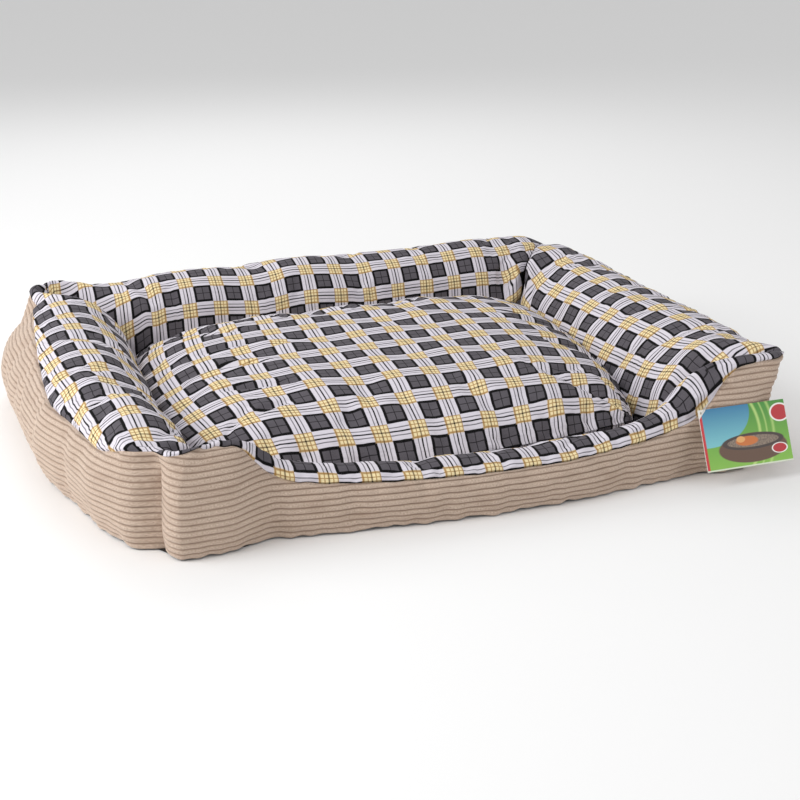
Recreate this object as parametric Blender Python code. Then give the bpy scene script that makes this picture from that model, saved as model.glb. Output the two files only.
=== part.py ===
"""Rectangular pet bed: four stuffed bolster walls sewn round a padded base, a loose cushion and a hang tag.

Metres, +Z up. The length runs along X and the low entry side faces -Y. The origin is on the floor, in the
middle of the whole object's footprint. Each wall is a fibre filling between an outer and an inner panel.
"""

import math

import bmesh
import bpy
from mathutils import Matrix, Vector

# Plan: the corner seams, and how far each wall bellies out past the line between them
CORNER_HALF_LENGTH = 0.478
FRONT_CORNER_Y = -0.373
BACK_CORNER_Y = 0.391
SIDE_BELLY = 0.082
BACK_BELLY = 0.046
FRONT_BELLY = 0.034
BELLY_SQUARENESS = 2.5
BELLY_ROUNDNESS = 0.75

# The well between the feet of the walls. The right wall slumps inwards at its front end.
WELL_LEFT = -0.338
WELL_RIGHT_BACK = 0.332
WELL_RIGHT_FRONT = 0.275
WELL_FRONT = -0.318
WELL_BACK = 0.266

# Heights of the wall crests above the floor
FRONT_CORNER_HEIGHT = 0.150
BACK_CORNER_HEIGHT = 0.165
BACK_RISE = 0.006
ENTRY_HEIGHT = 0.080

# The front wall keeps its full height over a post at each end, then ramps down to the entry
POST_LENGTH = 0.105
RAMP_LENGTH = 0.125

# Sheets: cover cloth, the base under the walls, and the wadding and cloth inside the well
COVER = 0.0015
BOTTOM_CLOTH = 0.0015
BASE_PADDING = 0.008
FLOOR_CLOTH = 0.001
GAP = 0.0003

# Cushion: its seam reaches a little over the feet of the walls, whose faces lean away from it
CUSHION_OVERHANG = 0.006
CUSHION_THICKNESS = 0.106
CUSHION_SEAM_RISE = 0.046
CUSHION_SQUARENESS = 9.0

# Hang tag: a folded card on a nylon loop that is threaded through the seam of the front wall
TAG_WIDTH = 0.140
TAG_HEIGHT = 0.088
TAG_LEAF = 0.0006
TAG_LEAN = math.radians(25)
TAG_STAND_OFF = 0.0024
TAG_HOLE_RADIUS = 0.0016
TAG_HOLE_INSET = 0.0045
PUNCH_LENGTH = 0.010
TAG_CORNER_CUT = 0.013
LOOP_FROM_CORNER = 0.146
LOOP_REACH_ALONG = 0.016
LOOP_REACH_DOWN = 0.014
LOOP_RADIUS = 0.0005
LOOP_HALF_WIDTH = 0.0021
LOOP_BEND_STEPS = 6

# Profiles: (share of the way from the wall's foot to its belly, share of the height), from the outer foot
# up to the seam, and from the seam over the crest down to the inner foot
FULL_OUTER = ((0.90, 0.0), (0.985, 0.17), (1.0, 0.42), (0.985, 0.68), (0.945, 0.87))
FULL_INNER = ((0.945, 0.87), (0.83, 0.975), (0.67, 1.0), (0.46, 0.91), (0.22, 0.68), (0.06, 0.36), (0.0, 0.0))
ENTRY_OUTER = ((0.85, 0.0), (0.97, 0.18), (1.0, 0.42), (0.97, 0.62), (0.88, 0.78))
ENTRY_INNER = ((0.88, 0.78), (0.72, 0.95), (0.54, 1.0), (0.34, 0.96), (0.16, 0.82), (0.04, 0.45), (0.0, 0.0))
OUTER_STEPS = 5
INNER_STEPS = 9
OUTER_SPAN = slice(0, OUTER_STEPS + 1)
INNER_SPAN = slice(OUTER_STEPS + 1, None)
SIDE_SECTIONS = 14
FRONT_SECTIONS = 26
OUTLINE_POINTS = 36
HOLE_POINTS = 16
SHARP_ANGLE = math.radians(40)
DOME_RINGS = 7
DOME_SWEEP = math.radians(84)
DOME_POWER = 0.55
TOP_ROUNDNESS = 3.0
UNDERSIDE_ROUNDNESS = 5.0

CORDUROY = (0.58, 0.45, 0.34)
PLAID = (0.42, 0.40, 0.38)
FIBRE = (0.93, 0.93, 0.91)
WADDING = (0.88, 0.88, 0.86)
BASE_CLOTH = (0.10, 0.09, 0.09)
NYLON = (0.85, 0.87, 0.88)
CARD_BACK = (0.90, 0.90, 0.86)
CARD_PRINT = (0.20, 0.55, 0.16)

# The card's spine at its top, from the loop's anchor, in the frame that leans with the card
SPINE = Vector((-LOOP_REACH_ALONG - TAG_HOLE_INSET, 0, -LOOP_REACH_DOWN + TAG_HOLE_INSET))

WALL_BASE = BOTTOM_CLOTH + GAP
FLOOR_TOP = WALL_BASE + BASE_PADDING + GAP + FLOOR_CLOTH


class Corner:
    """A vertical seam between two walls: its outer end, its foot in the well, and the crest's height."""

    def __init__(self, tip_x, tip_y, foot, height):
        self.tip = Vector((tip_x, tip_y))
        self.foot = Vector(foot)
        self.height = height


CORNERS = {
    "front_left": Corner(-CORNER_HALF_LENGTH, FRONT_CORNER_Y, (WELL_LEFT, WELL_FRONT), FRONT_CORNER_HEIGHT),
    "front_right": Corner(
        CORNER_HALF_LENGTH, FRONT_CORNER_Y, (WELL_RIGHT_FRONT, WELL_FRONT), FRONT_CORNER_HEIGHT
    ),
    "back_right": Corner(CORNER_HALF_LENGTH, BACK_CORNER_Y, (WELL_RIGHT_BACK, WELL_BACK), BACK_CORNER_HEIGHT),
    "back_left": Corner(-CORNER_HALF_LENGTH, BACK_CORNER_Y, (WELL_LEFT, WELL_BACK), BACK_CORNER_HEIGHT),
}


class Wall:
    """A bolster between two corners, with stations from 0 to 1 along it."""

    def __init__(self, start, end, belly, rise=0.0, entry=False):
        self.start = CORNERS[start]
        self.end = CORNERS[end]
        self.belly = belly
        self.rise = rise
        self.entry = entry
        self.length = (self.end.tip - self.start.tip).length
        self.along = (self.end.tip - self.start.tip).normalized()
        self.outward = Vector((self.along.y, -self.along.x))
        self.sections = FRONT_SECTIONS if entry else SIDE_SECTIONS

    def fullness(self, station):
        """Share of the belly: none at the corner seams, which pinch the wall in."""
        return (1 - min(1.0, abs(2 * station - 1) ** BELLY_SQUARENESS)) ** BELLY_ROUNDNESS

    def entry_share(self, station):
        """0 over the full-height posts, 1 in the low entry."""
        if not self.entry:
            return 0.0
        reach = min(station, 1 - station) * self.length - POST_LENGTH
        share = min(1.0, max(0.0, reach / RAMP_LENGTH))
        return share * share * (3 - 2 * share)

    def trim(self, corner):
        """How far this wall stops short of a corner's mitre, so that two walls lie a gap apart."""
        return GAP / 2 / abs(self.along.cross((corner.tip - corner.foot).normalized()))

    def across(self, station):
        """The foot, and the way from the foot to the belly, in plan."""
        start_trim = self.along * self.trim(self.start)
        end_trim = self.along * self.trim(self.end)
        foot = (self.start.foot + start_trim).lerp(self.end.foot - end_trim, station)
        tip = (self.start.tip + start_trim).lerp(self.end.tip - end_trim, station)
        return foot, tip + self.outward * self.belly * self.fullness(station) - foot

    def height(self, station):
        full = self.start.height + (self.end.height - self.start.height) * station
        full += self.rise * self.fullness(station)
        return full + (ENTRY_HEIGHT - full) * self.entry_share(station)

    def curve(self, station, full, entry, steps):
        """One profile as (distance from the foot, height), between its full and its entry form."""
        share = self.entry_share(station)
        width = self.across(station)[1].length
        rise = self.height(station) - WALL_BASE
        points = []
        for high, low in zip(full, entry):
            w, h = Vector(high).lerp(Vector(low), share)
            points.append(Vector((w * width, WALL_BASE + h * rise)))
        return smooth(points, steps)

    def section(self, station):
        """The faces of the outer and then the inner panel, which starts a gap past the seam."""
        outer = self.curve(station, FULL_OUTER, ENTRY_OUTER, OUTER_STEPS)
        inner = self.curve(station, FULL_INNER, ENTRY_INNER, INNER_STEPS)
        inner[0] = inner[0] + (inner[1] - inner[0]).normalized() * GAP
        return outer + inner

    def inset(self, station, depth):
        """The section moved into the wall. It is cut at a slant, which stretches it across. The edges of both
        panels move alike at the seam between them."""
        section = self.section(station)
        direction = self.across(station)[1].normalized()
        stretch = depth / abs(self.along.cross(direction))
        moved = []
        for i, point in enumerate(section):
            before = OUTER_STEPS - 1 if i == OUTER_STEPS + 1 else max(i - 1, 0)
            after = OUTER_STEPS + 2 if i == OUTER_STEPS else min(i + 1, len(section) - 1)
            tangent = (section[after] - section[before]).normalized()
            height = max(WALL_BASE, point.y + tangent.x * depth)
            moved.append(Vector((point.x - tangent.y * stretch, height)))
        return moved

    def place(self, station, curve):
        """A curve of the section as points in space."""
        foot, reach = self.across(station)
        direction = reach.normalized()
        return [Vector((*(foot + direction * point.x), point.y)) for point in curve]

    def rings(self, ring_at):
        """Rings in space along the wall, from a function that gives the ring in the section at a station."""
        stations = [i / self.sections for i in range(self.sections + 1)]
        return [self.place(station, ring_at(station)) for station in stations]

    def panel(self, span):
        """Rings of a cover panel, over a span of the section: its face, then its back."""
        return self.rings(lambda at: self.section(at)[span] + self.inset(at, COVER)[span][::-1])

    def filling(self):
        """Rings of the fibre inside both panels."""
        return self.rings(lambda at: self.inset(at, COVER + GAP))


WALLS = {
    "front": Wall("front_left", "front_right", FRONT_BELLY, entry=True),
    "right": Wall("front_right", "back_right", SIDE_BELLY),
    "back": Wall("back_right", "back_left", BACK_BELLY, rise=BACK_RISE),
    "left": Wall("back_left", "front_left", SIDE_BELLY),
}


def smooth(points, steps):
    """A Catmull-Rom curve through the points, as steps + 1 evenly spaced samples."""
    ends = [2 * points[0] - points[1], *points, 2 * points[-1] - points[-2]]
    spans = len(points) - 1
    samples = []
    for i in range(steps + 1):
        place = min(i * spans / steps, spans - 1e-9)
        span = int(place)
        t = place - span
        p0, p1, p2, p3 = ends[span : span + 4]
        bend = (2 * p0 - 5 * p1 + 4 * p2 - p3) * t**2 + (3 * p1 - p0 - 3 * p2 + p3) * t**3
        samples.append(p1 + 0.5 * ((p2 - p0) * t + bend))
    return samples


def clear_scene():
    for obj in list(bpy.data.objects):
        bpy.data.objects.remove(obj)


def new_collection(name):
    collection = bpy.data.collections.new(name)
    bpy.context.scene.collection.children.link(collection)
    return collection


def material(name, colour, roughness):
    made = bpy.data.materials.new(name)
    made.use_nodes = True
    shader = made.node_tree.nodes["Principled BSDF"]
    shader.inputs["Base Color"].default_value = (*colour, 1.0)
    shader.inputs["Roughness"].default_value = roughness
    shader.inputs["Metallic"].default_value = 0.0
    return made


def finish(obj, colour, roughness, parent=None):
    """Puts a finished object in the bed's collection, with a material of its own."""
    for collection in list(obj.users_collection):
        collection.objects.unlink(obj)
    BED.objects.link(obj)
    obj.data.materials.clear()
    obj.data.materials.append(material(obj.name, colour, roughness))
    obj.parent = parent
    return obj


def mesh_object(name, work):
    """A bmesh as an object, with its faces turned out and shaded smooth."""
    bmesh.ops.recalc_face_normals(work, faces=work.faces)
    mesh = bpy.data.meshes.new(name)
    work.to_mesh(mesh)
    work.free()
    mesh.shade_smooth()
    mesh.set_sharp_from_angle(angle=SHARP_ANGLE)
    obj = bpy.data.objects.new(name, mesh)
    BED.objects.link(obj)
    return obj


def bridge(work, rings, turned):
    """Triangles from each ring of vertices to the next. From the turned point on, their diagonal is the other
    one, so that a sheet's back, which runs the other way, stays parallel to its face."""
    for first, second in zip(rings, rings[1:]):
        for i in range(len(first)):
            j = (i + 1) % len(first)
            if i < turned:
                halves = ((first[i], first[j], second[j]), (first[i], second[j], second[i]))
            else:
                halves = ((first[i], first[j], second[i]), (first[j], second[j], second[i]))
            for half in halves:
                work.faces.new(half)


def loft(name, rings, turned=math.inf):
    """A closed solid through rings of as many points, capped at both ends."""
    work = bmesh.new()
    made = [[work.verts.new(point) for point in ring] for ring in rings]
    bridge(work, made, turned)
    work.faces.new(made[0])
    work.faces.new(made[-1])
    return mesh_object(name, work)


def slab(name, outline, low, high):
    """A flat sheet with that outline, from one height to another."""
    curve = bpy.data.curves.new(name, "CURVE")
    curve.dimensions = "2D"
    curve.fill_mode = "BOTH"
    curve.extrude = (high - low) / 2
    spline = curve.splines.new("POLY")
    spline.points.add(len(outline) - 1)
    for point, corner in zip(spline.points, outline):
        point.co = (corner.x, corner.y, 0.0, 1.0)
    spline.use_cyclic_u = True
    obj = bpy.data.objects.new(name, curve)
    obj.location.z = (low + high) / 2
    return obj


def foot_outline():
    """The outline of the walls' outer feet, all the way round."""
    outline = []
    for wall in WALLS.values():
        for i in range(wall.sections):
            station = i / wall.sections
            outline.append(wall.place(station, wall.section(station)[:1])[0].to_2d())
    return outline


def well_corners(clearance):
    """The four feet of the corner seams, moved into the well by a clearance, from the front left round."""
    feet = []
    for name, corner in CORNERS.items():
        inwards = Vector((1 if "left" in name else -1, 1 if "front" in name else -1))
        feet.append(corner.foot + inwards * clearance)
    return feet


def build_walls():
    for name, wall in WALLS.items():
        finish(loft(f"{name}_outer_panel", wall.panel(OUTER_SPAN), OUTER_STEPS + 1), CORDUROY, 0.95)
        finish(loft(f"{name}_inner_panel", wall.panel(INNER_SPAN), INNER_STEPS + 1), PLAID, 0.85)
        finish(loft(f"{name}_bolster_filling", wall.filling()), FIBRE, 1.0)


def build_base():
    padding_top = WALL_BASE + BASE_PADDING
    finish(slab("bottom_panel", foot_outline(), 0.0, BOTTOM_CLOTH), BASE_CLOTH, 0.9)
    finish(slab("base_padding", well_corners(GAP), WALL_BASE, padding_top), WADDING, 1.0)
    finish(slab("floor_panel", well_corners(GAP), padding_top + GAP, FLOOR_TOP), PLAID, 0.85)


def cushion_outline():
    """A rounded four-sided outline that fills the well."""
    front_left, front_right, back_right, back_left = well_corners(-CUSHION_OVERHANG)
    power = 2 / CUSHION_SQUARENESS
    outline = []
    for i in range(OUTLINE_POINTS):
        turn = 2 * math.pi * (i + 0.5) / OUTLINE_POINTS
        across = (1 + math.copysign(abs(math.cos(turn)) ** power, math.cos(turn))) / 2
        along = (1 + math.copysign(abs(math.sin(turn)) ** power, math.sin(turn))) / 2
        front = front_left.lerp(front_right, across)
        outline.append(front.lerp(back_left.lerp(back_right, across), along))
    return outline


def dome_rings(seam, crown, roundness):
    """Rings from the cushion's seam in to its middle, rising or falling to the crown's height."""
    outline = cushion_outline()
    middle = sum(outline, Vector((0, 0))) / len(outline)
    rings = []
    for i in range(DOME_RINGS + 1):
        share = math.cos(i / DOME_RINGS * DOME_SWEEP)
        height = seam + (crown - seam) * (1 - share**roundness) ** DOME_POWER
        rings.append([Vector((*middle.lerp(point, share), height)) for point in outline])
    return rings


def inset_rings(rings, depth):
    """The rings of a closed surface, moved into it by a depth."""
    moved = []
    for k, ring in enumerate(rings):
        below = rings[max(k - 1, 0)]
        above = rings[min(k + 1, len(rings) - 1)]
        inner = []
        for i, point in enumerate(ring):
            round_it = ring[(i + 1) % len(ring)] - ring[i - 1]
            normal = round_it.cross(above[i] - below[i]).normalized()
            inner.append(point - normal * depth)
        moved.append(inner)
    return moved


def seam_gap(rings, which, shift):
    """The rings with one of them raised or lowered, to part two panels at the seam."""
    moved = [list(ring) for ring in rings]
    moved[which] = [point + Vector((0, 0, shift)) for point in moved[which]]
    return moved


def build_cushion(body):
    low = FLOOR_TOP + GAP
    seam = low + CUSHION_SEAM_RISE
    lower = dome_rings(seam, low, UNDERSIDE_ROUNDNESS)[::-1]
    upper = dome_rings(seam, low + CUSHION_THICKNESS, TOP_ROUNDNESS)
    face = lower + upper[1:]
    back = inset_rings(face, COVER)
    half = DOME_RINGS + 1
    top_face = seam_gap(face[half - 1 :], 0, GAP / 2)
    top_back = seam_gap(back[half - 1 :], 0, GAP / 2)
    bottom_face = seam_gap(face[:half], -1, -GAP / 2)
    bottom_back = seam_gap(back[:half], -1, -GAP / 2)
    finish(loft("cushion_top_panel", top_face[::-1] + top_back), PLAID, 0.85, body)
    finish(loft("cushion_bottom_panel", bottom_back + bottom_face[::-1]), PLAID, 0.85, body)
    finish(loft("cushion_filling", inset_rings(face, COVER + GAP)), FIBRE, 1.0, body)


def loop_anchor():
    """Where the tag's loop leaves the seam of the front wall, just clear of the cloth."""
    wall = WALLS["front"]
    station = 1 - LOOP_FROM_CORNER / wall.length
    seam = wall.place(station, wall.section(station)[OUTER_STEPS : OUTER_STEPS + 1])[0]
    return seam - Vector((0, TAG_STAND_OFF, 0))


def leaf(name, spine, thickness, cut):
    """One leaf of the card, across from its spine in X and down from it in Z, with its top corner cut off."""
    outline = [(0, 0), (TAG_WIDTH, 0), (TAG_WIDTH, -TAG_HEIGHT), (0, -TAG_HEIGHT)]
    if cut:
        outline[:1] = [(0, -cut), (cut, 0)]
    rings = [[spine + Vector((x, y, z)) for x, z in outline] for y in (0, thickness)]
    return loft(name, rings)


def punch(obj, centre):
    """A round hole through the card."""
    bpy.ops.mesh.primitive_cylinder_add(vertices=HOLE_POINTS, radius=TAG_HOLE_RADIUS, depth=PUNCH_LENGTH)
    punch_tool = bpy.context.object
    punch_tool.name = f"{obj.name}_punch"
    punch_tool.data.transform(Matrix.Translation(centre) @ Matrix.Rotation(math.pi / 2, 4, "X"))
    for collection in list(punch_tool.users_collection):
        collection.objects.unlink(punch_tool)
    CUTTERS.objects.link(punch_tool)
    punch_tool.parent = obj.parent
    punch_tool.hide_render = True
    punch_tool.display_type = "WIRE"
    cut = obj.modifiers.new("hole", "BOOLEAN")
    cut.operation = "DIFFERENCE"
    cut.object = punch_tool


def build_loop(body, hole):
    """A long narrow ring of nylon, from the seam round through the hole in the back leaf."""
    curve = bpy.data.curves.new("tag_loop", "CURVE")
    curve.dimensions = "3D"
    curve.bevel_depth = LOOP_RADIUS
    curve.bevel_resolution = 2
    direction = hole.normalized()
    straight = hole.length - 2 * LOOP_HALF_WIDTH
    points = []
    for end, first_turn in ((0, math.pi / 2), (straight, -math.pi / 2)):
        for i in range(LOOP_BEND_STEPS + 1):
            turn = first_turn + math.pi * i / LOOP_BEND_STEPS
            far = end + LOOP_HALF_WIDTH * (1 + math.cos(turn))
            points.append(direction * far + Vector((0, LOOP_HALF_WIDTH * math.sin(turn), 0)))
    spline = curve.splines.new("POLY")
    spline.points.add(len(points) - 1)
    for point, place in zip(spline.points, points):
        point.co = (*place, 1.0)
    spline.use_cyclic_u = True
    finish(bpy.data.objects.new("tag_loop", curve), NYLON, 0.2, body)


def build_tag(tag_body, leaf_body):
    hole = Vector((-LOOP_REACH_ALONG, 0, -LOOP_REACH_DOWN))
    back = leaf("tag_back_leaf", SPINE - Vector((0, -GAP / 2, 0)), TAG_LEAF, 0.0)
    finish(back, CARD_BACK, 0.35, tag_body)
    punch(back, hole)
    front = leaf("tag_front_leaf", Vector((0, -GAP / 2, 0)), -TAG_LEAF, TAG_CORNER_CUT)
    finish(front, CARD_PRINT, 0.3, leaf_body)
    build_loop(tag_body, hole)


def moving_frame(name, location, lean=0.0, parent=None):
    """An empty on a joint, which the pieces of that body hang from."""
    empty = bpy.data.objects.new(name, None)
    BED.objects.link(empty)
    empty.parent = parent
    empty.location = location
    empty.rotation_euler.x = lean
    return empty


clear_scene()
BED = new_collection("pet_bed")
CUTTERS = new_collection("cutters")
build_walls()
build_base()
build_cushion(moving_frame("cushion_lift", (0, 0, 0)))
tag_frame = moving_frame("tag_swing", loop_anchor(), -TAG_LEAN)
build_tag(tag_frame, moving_frame("leaf_fold", SPINE, parent=tag_frame))
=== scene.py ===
"""Looks of the pet bed: stuffed corduroy and plaid walls, a loose stuffed cushion and a folded card on a loop.

Metres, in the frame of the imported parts. Each wall is a surface over (distance along the wall, share of its
section). A short cloth simulation wrinkles it, and then the wales, the seam's puckers and the corner creases are
added.
"""

import math

import bpy
import numpy as np
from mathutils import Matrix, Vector


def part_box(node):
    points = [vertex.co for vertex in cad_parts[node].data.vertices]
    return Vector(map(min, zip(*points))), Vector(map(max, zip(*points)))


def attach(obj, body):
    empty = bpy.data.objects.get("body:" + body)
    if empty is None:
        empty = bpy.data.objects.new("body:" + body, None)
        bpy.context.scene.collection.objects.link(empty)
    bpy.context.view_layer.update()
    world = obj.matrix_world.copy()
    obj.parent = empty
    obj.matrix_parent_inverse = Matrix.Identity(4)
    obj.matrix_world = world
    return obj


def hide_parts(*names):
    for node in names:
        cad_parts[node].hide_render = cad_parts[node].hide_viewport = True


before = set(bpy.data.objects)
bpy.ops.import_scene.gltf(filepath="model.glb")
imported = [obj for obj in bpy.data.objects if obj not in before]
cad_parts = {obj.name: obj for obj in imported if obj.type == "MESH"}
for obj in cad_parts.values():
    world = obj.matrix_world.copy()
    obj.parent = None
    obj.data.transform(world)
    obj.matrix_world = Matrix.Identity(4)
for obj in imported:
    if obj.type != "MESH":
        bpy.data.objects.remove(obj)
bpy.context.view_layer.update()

# Corner seams of the walls: the outer tip and the inner foot
TIPS = {"front_left": (-0.478, -0.373), "front_right": (0.465, -0.373), "back_right": (0.462, 0.391),
        "back_left": (-0.488, 0.400)}
FEET = {"front_left": (-0.338, -0.318), "front_right": (0.275, -0.318), "back_right": (0.332, 0.266),
        "back_left": (-0.338, 0.266)}
WALL_BASE = 0.0018
# How much closer together a wall's stations are at the ends of its foot than in the middle
FOOT_SQUEEZE = 0.5
# The front right corner's foot is drawn in by this much, within this reach and below this height
LEAN, LEAN_REACH, LEAN_HEIGHT = 0.030, 0.10, 0.13

# Sections as (share of the way from the wall's foot to its belly, share of the crest's height). The outer part
# runs up to the seam between the cloths, the inner part from that seam over the crest to the foot in the well.
SECTIONS = {
    "front_left": (((0.92, 0.0), (0.945, 0.2), (0.93, 0.5), (0.907, 0.74), (0.895, 0.94)),
                   ((0.895, 0.94), (0.86, 0.99), (0.74, 1.0), (0.50, 0.93), (0.32, 0.76), (0.20, 0.50), (0.11, 0.24),
                    (0.05, 0.0))),
    "front_right": (((0.90, 0.0), (0.90, 0.2), (0.91, 0.45), (0.95, 0.72), (0.985, 0.93)),
                    ((0.985, 0.93), (0.94, 0.98), (0.82, 1.0), (0.60, 0.97), (0.38, 0.82), (0.22, 0.54), (0.11, 0.24),
                     (0.05, 0.0))),
    "back_right": (((0.90, 0.0), (0.93, 0.18), (0.93, 0.42), (0.92, 0.68), (0.88, 0.88)),
                   ((0.88, 0.88), (0.76, 0.98), (0.58, 1.0), (0.40, 0.96), (0.22, 0.90), (0.12, 0.74), (0.08, 0.4),
                    (0.05, 0.0))),
    "back_left": (((0.90, 0.0), (0.94, 0.2), (0.96, 0.45), (0.98, 0.72), (1.0, 0.95)),
                  ((1.0, 0.95), (0.97, 1.0), (0.90, 0.93), (0.74, 0.75), (0.56, 0.56), (0.37, 0.37), (0.20, 0.19),
                   (0.06, 0.0))),
    "left_back": (((0.90, 0.0), (0.97, 0.18), (1.0, 0.40), (0.92, 0.65), (0.77, 0.86)),
                  ((0.77, 0.86), (0.71, 0.95), (0.61, 1.0), (0.47, 0.97), (0.32, 0.86), (0.19, 0.66), (0.12, 0.38),
                   (0.07, 0.0))),
    "left": (((0.92, 0.0), (0.975, 0.18), (1.0, 0.40), (0.985, 0.58), (0.93, 0.74)),
             ((0.93, 0.74), (0.86, 0.90), (0.73, 0.98), (0.60, 1.0), (0.47, 0.95), (0.37, 0.80), (0.28, 0.50),
              (0.12, 0.0))),
    "right": (((0.90, 0.0), (0.985, 0.2), (1.0, 0.42), (0.96, 0.70), (0.84, 0.88)),
              ((0.84, 0.88), (0.71, 0.975), (0.55, 1.0), (0.39, 0.95), (0.25, 0.82), (0.14, 0.60), (0.08, 0.3),
               (0.03, 0.0))),
    "back": (((0.90, 0.0), (0.985, 0.2), (1.0, 0.42), (0.97, 0.68), (0.90, 0.87)),
             ((0.90, 0.87), (0.76, 0.97), (0.57, 1.0), (0.39, 0.95), (0.27, 0.80), (0.21, 0.55), (0.14, 0.25),
              (0.08, 0.0))),
    "front": (((0.90, 0.0), (0.975, 0.16), (1.0, 0.42), (0.92, 0.76), (0.70, 0.985)),
              ((0.70, 0.985), (0.64, 1.0), (0.56, 0.995), (0.44, 0.93), (0.31, 0.76), (0.19, 0.48), (0.09, 0.2),
               (0.03, 0.0))),
    "entry": (((0.95, 0.0), (1.0, 0.25), (1.0, 0.48), (0.97, 0.64), (0.90, 0.78)),
              ((0.90, 0.78), (0.76, 0.95), (0.57, 1.0), (0.40, 0.94), (0.26, 0.76), (0.14, 0.46), (0.06, 0.2),
               (0.02, 0.0))),
}

# Along each wall, as (distance from its start, value): the belly beyond the line between the corner tips, the
# crest's height, the reach of the corner sections and, where the section changes on the way, the other section
# with its share
WALLS = {
    "front": dict(
        ends=("front_left", "front_right"), blends=(0.055, 0.07),
        belly=((0, 0), (0.010, 0.024), (0.035, 0.042), (0.10, 0.036), (0.16, 0.013), (0.20, 0.020),
               (0.26, 0.028), (0.385, 0.041), (0.478, 0.045), (0.56, 0.044), (0.68, 0.028), (0.785, 0.018),
               (0.87, 0.024), (0.92, 0.020), (0.943, 0)),
        crest=((0, 0.143), (0.04, 0.144), (0.09, 0.140), (0.11, 0.135), (0.135, 0.120), (0.16, 0.104),
               (0.19, 0.096), (0.26, 0.088), (0.38, 0.080), (0.54, 0.077), (0.68, 0.081), (0.735, 0.088),
               (0.785, 0.099), (0.810, 0.108), (0.835, 0.124), (0.855, 0.140), (0.878, 0.153), (0.905, 0.165),
               (0.943, 0.176)),
        other=("entry", ((0, 0), (0.09, 0), (0.135, 0.35), (0.19, 0.9), (0.26, 1), (0.72, 1), (0.79, 0.85),
                         (0.85, 0.45), (0.90, 0.1), (0.943, 0)))),
    "right": dict(
        ends=("front_right", "back_right"), blends=(0.07, 0.085),
        belly=((0, 0), (0.04, 0.012), (0.12, 0.046), (0.27, 0.068), (0.45, 0.070), (0.62, 0.067), (0.70, 0.052),
               (0.74, 0.034), (0.764, 0)),
        crest=((0, 0.176), (0.08, 0.168), (0.2, 0.161), (0.45, 0.158), (0.62, 0.160), (0.72, 0.165),
               (0.764, 0.168))),
    "back": dict(
        ends=("back_right", "back_left"), blends=(0.085, 0.10),
        belly=((0, 0), (0.04, 0.030), (0.10, 0.043), (0.47, 0.046), (0.84, 0.043), (0.90, 0.030), (0.94, 0)),
        crest=((0, 0.168), (0.05, 0.178), (0.18, 0.180), (0.30, 0.176), (0.41, 0.173), (0.52, 0.177),
               (0.592, 0.168), (0.70, 0.171), (0.80, 0.165), (0.84, 0.159), (0.87, 0.159), (0.90, 0.165),
               (0.94, 0.169))),
    "left": dict(
        ends=("back_left", "front_left"), blends=(0.05, 0.11),
        belly=((0, 0), (0.03, 0.046), (0.08, 0.076), (0.2, 0.088), (0.35, 0.089), (0.48, 0.088), (0.577, 0.066),
               (0.69, 0.046), (0.735, 0.034), (0.754, 0.022), (0.764, 0)),
        crest=((0, 0.169), (0.1, 0.163), (0.4, 0.160), (0.65, 0.156), (0.764, 0.143)),
        other=("left_back", ((0, 1), (0.12, 1), (0.30, 0.6), (0.45, 0.25), (0.65, 0), (0.764, 0)))),
}

# The walls' grids: usual column spacing, the spacing that each unit of the seam's slope adds to, the slope that
# counts most, and rows of each part
COLUMN, RAMP_COLUMN, STEEPEST = 0.005, 0.0016, 2
OUTER_ROWS, INNER_ROWS = 132, 60
# The coarse grid on which the seam's slope is measured
SEAM_PROBES, SECTION_PROBES = 400, 24
FLOOR_GAP = 0.0004

WALE_PITCH = 0.0084
WALE_DEPTH = 0.0025
PLAID_REPEAT = 0.057
# The print's bands within one repeat, as (middle of the dark or the light stripe, distance from it, width,
# softness): the dark stripe, its border and cross, the light stripe's lines, centre and rim, and the yellow square
PLAID_BANDS = ((0.285, 0.0, 0.57, 0.014), (0.285, 0.248, 0.076, 0.018), (0.285, 0.0, 0.020, 0.012),
               (0.785, 0.100, 0.024, 0.018), (0.785, 0.0, 0.038, 0.012), (0.785, 0.215, 0.050, 0.036),
               (0.785, 0.0, 0.49, 0.030))
# The print runs straight along a line at this distance out from the bed's middle, or else along the seam, and
# has this phase there
GRAINS = {"front": None, "right": 0.42, "back": 0.38, "left": 0.47}
GRAIN_PHASES = {"front": 0.80, "right": 0.80, "back": 0.62, "left": 0.80}
# How the print is let out where the cloth is stretched and drawn in where it is eased over the filling
PRINT_SCALES = {"front": (1.0, 1.0), "right": (0.86, 0.98), "back": (1.07, 1.07), "left": (0.86, 0.98),
                "cushion": (0.92, 0.84)}
CUSHION_PRINT = (0.013, 0.018)
# Where along the inner part's section the front wall's cloth is measured
RIDGE_SHARE = 0.3
# How much further the print is cut off by the seam on the front wall's high ends
POST_SHIFT = 0.016

# Gathers as (size, depth, reach, seed), for the outer and the inner part where there are two
SEAM_PUCKERS = ((0.016, 0.0010, 0.012, 5), (0.014, 0.0010, 0.014, 11))
FOOT_PUCKERS = (0.030, 0.0022, 0.014, 7)
CORNER_PUCKERS = ((0.024, 0.0022, 0.018, 13), (0.024, 0.0022, 0.018, 14))
CUSHION_PUCKERS = (0.022, 0.0022, 0.014, 23)
# Soft waves as (size, depth, seed)
WALL_WAVES = ((0.09, 0.0012, 17), (0.09, 0.0012, 18))
CUSHION_WAVES = (0.11, 0.0016, 29)
FLOOR_WAVES = (0.12, 0.0006, 31)
BOTTOM_WAVES = (0.15, 0.0004, 37)
WAVE_COUNT = 9
# Within these distances of a seam and of a corner the ribs and gathers fade out
SEAM_FADE, CORNER_FADE = 0.003, 0.006

# The groove of the seam between the cloths, and its fade at the corners
SEAM_DEPTH, SEAM_WIDTH, SEAM_END = 0.0032, 0.0025, 0.01
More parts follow.
